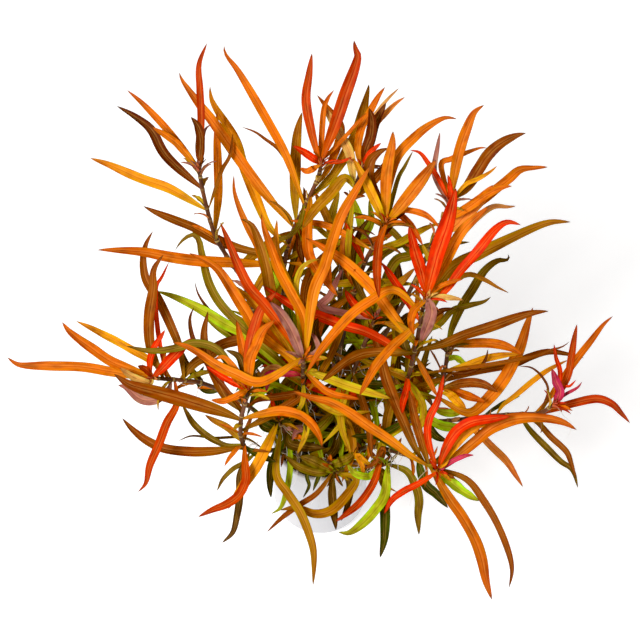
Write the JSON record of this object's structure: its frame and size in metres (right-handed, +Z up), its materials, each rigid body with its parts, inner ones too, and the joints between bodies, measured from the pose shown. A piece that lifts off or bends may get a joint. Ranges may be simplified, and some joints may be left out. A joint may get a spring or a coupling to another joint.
{
  "type": "potted aquarium plant",
  "caption": "Bunch of upright red-green stems with narrow pointed leaves, rooted in a wool plug that stands in a small round pale cup.",
  "frame": {"origin": "middle of the cup's flat underside, which rests on the surface", "axes": "+Z up along the cup's axis, -Y towards the side the plant was seen from, +X to that viewer's right"},
  "size_m": [0.2245, 0.1903, 0.183],
  "materials": {
    "cup": "smooth pale grey plastic",
    "wool": "dull mineral wool",
    "leafy_stem": "satin brown-red stem with olive and ochre leaves",
    "young_leaves": "satin orange-red leaf",
    "leaf": "satin orange-brown leaf"
  },
  "bodies": {
    "root": {"crown_a": "young_leaves", "crown_b": "young_leaves", "crown_c": "young_leaves", "crown_d": "young_leaves", "crown_e": "young_leaves", "crown_f": "young_leaves", "crown_g": "young_leaves", "crown_h": "young_leaves", "crown_j": "young_leaves", "crown_k": "young_leaves", "crown_m": "young_leaves", "crown_n": "young_leaves", "crown_t": "young_leaves", "crown_q": "young_leaves", "crown_r": "young_leaves", "crown_s": "young_leaves", "cup": "cup", "leaf_a5": "leaf", "leaf_a6": "leaf", "leaf_a9": "leaf", "leaf_b10": "leaf", "leaf_b11": "leaf", "leaf_b12": "leaf", "leaf_b14": "leaf", "leaf_b15": "leaf", "leaf_b8": "leaf", "leaf_b9": "leaf", "leaf_e6": "leaf", "leaf_e7": "leaf", "leaf_f11": "leaf", "leaf_f12": "leaf", "leaf_f7": "leaf", "leaf_f8": "leaf", "leaf_g8": "leaf", "leaf_g9": "leaf", "leaf_h11": "leaf", "leaf_h8": "leaf", "leaf_k12": "leaf", "leaf_k14": "leaf", "leaf_k16": "leaf", "leaf_k4": "leaf", "leaf_q5": "leaf", "stem_a": "leafy_stem", "stem_b": "leafy_stem", "stem_c": "leafy_stem", "stem_d": "leafy_stem", "stem_e": "leafy_stem", "stem_f": "leafy_stem", "stem_g": "leafy_stem", "stem_h": "leafy_stem", "stem_j": "leafy_stem", "stem_k": "leafy_stem", "stem_m": "leafy_stem", "stem_n": "leafy_stem", "stem_t": "leafy_stem", "stem_q": "leafy_stem", "stem_r": "leafy_stem", "stem_s": "leafy_stem", "wool_plug": "wool"}
  },
  "joints": []
}
